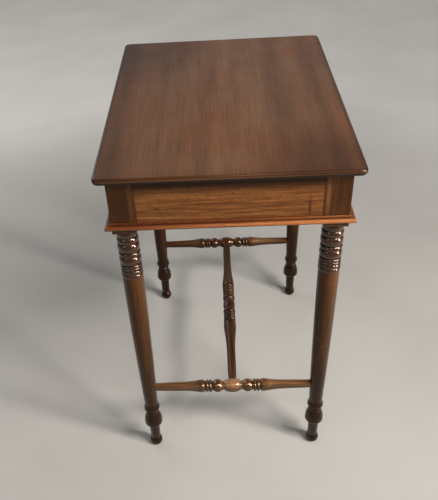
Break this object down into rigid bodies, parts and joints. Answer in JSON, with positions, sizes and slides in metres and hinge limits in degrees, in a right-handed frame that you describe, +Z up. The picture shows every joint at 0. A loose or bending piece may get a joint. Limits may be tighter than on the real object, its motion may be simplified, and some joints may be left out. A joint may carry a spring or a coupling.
{
  "type": "tavern table",
  "caption": "Oblong wooden side table with a round-edged top, a frieze with a lip moulding, ring-turned tapering legs and an H of turned stretchers.",
  "frame": {"origin": "on the floor, under the middle of the table", "axes": "+Z up; +Y along the table's length, towards its rear end; +X across its width, to the right seen from the front end"},
  "size_m": [0.424, 0.576, 0.714],
  "materials": {
    "top_board": "french polished",
    "leg_wood": "french polished",
    "apron_wood": "french polished",
    "moulding_wood": "french polished",
    "stretcher_wood": "french polished",
    "block_softwood": "bare",
    "screw_iron": "dulled iron"
  },
  "bodies": {
    "root": {"table_top": "top_board", "front_left_leg": "leg_wood", "front_right_leg": "leg_wood", "rear_left_leg": "leg_wood", "rear_right_leg": "leg_wood", "front_apron": "apron_wood", "rear_apron": "apron_wood", "left_apron": "apron_wood", "right_apron": "apron_wood", "front_lip_moulding": "moulding_wood", "rear_lip_moulding": "moulding_wood", "left_lip_moulding": "moulding_wood", "right_lip_moulding": "moulding_wood", "front_cross_stretcher": "stretcher_wood", "rear_cross_stretcher": "stretcher_wood", "long_stretcher": "stretcher_wood", "front_glue_block": "block_softwood", "rear_glue_block": "block_softwood", "left_glue_blocks": "block_softwood", "right_glue_blocks": "block_softwood", "top_pocket_screws": "screw_iron"}
  },
  "joints": []
}
